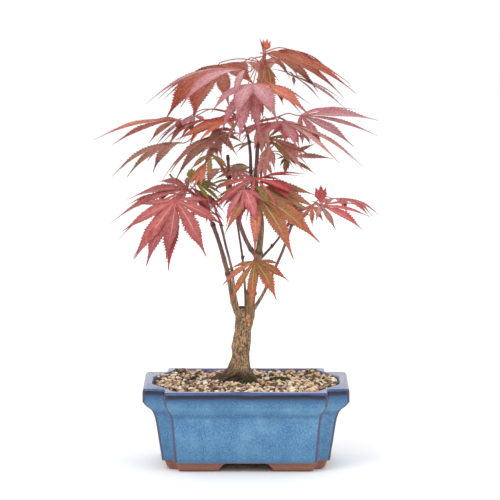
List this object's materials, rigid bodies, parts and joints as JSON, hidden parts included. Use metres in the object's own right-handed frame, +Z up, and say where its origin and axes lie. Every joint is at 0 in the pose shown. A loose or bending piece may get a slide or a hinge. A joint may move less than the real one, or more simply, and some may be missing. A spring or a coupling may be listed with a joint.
{
  "type": "potted japanese maple bonsai",
  "caption": "Japanese maple bonsai: short flared trunk, slender upright boughs and drooping red hand-shaped leaves, in a glazed rectangular pot with indented corners and feet",
  "frame": {"origin": "middle of the plant's overall plan size, on the plane under the pot's feet", "axes": "+Z up, +X to the right as seen from the front, +Y away from the front of the pot"},
  "size_m": [0.2533, 0.195, 0.3764],
  "materials": {
    "pot": "glossy streaked blue glaze over an unglazed reddish brown foot",
    "soil": "dry mixed granules with a little moss",
    "bark": "matte fissured tan and brown bark",
    "young_bark": "smooth maroon-brown young bark",
    "leaf_mauve": "matte leaf, mauve above and orange beneath",
    "leaf_pink": "matte pink-red leaf",
    "leaf_orange": "matte orange-brown leaf",
    "leaf_olive": "matte olive-brown leaf",
    "leaf_crimson": "matte crimson leaf"
  },
  "bodies": {
    "root": {"pot": "pot", "soil": "soil", "trunk": "bark", "bough_leader": "bark", "bough_upright_middle": "young_bark", "bough_upright_left": "young_bark", "bough_upright_right": "young_bark", "bough_left_outer": "young_bark", "bough_left_inner": "young_bark", "bough_rear": "young_bark", "bough_left_curve": "young_bark", "bough_right_outer": "young_bark", "bough_right_inner": "young_bark", "foliage_top": "leaf_mauve", "foliage_upper_right": "leaf_pink", "foliage_upper_left": "leaf_orange", "foliage_middle_left": "leaf_orange", "foliage_middle_right": "leaf_olive", "foliage_lower_left": "leaf_crimson", "foliage_centre": "leaf_crimson", "foliage_right": "leaf_crimson", "foliage_right_rear": "leaf_orange", "foliage_rear": "leaf_orange", "foliage_left_inner": "leaf_orange", "foliage_low_front": "leaf_orange"}
  },
  "joints": []
}
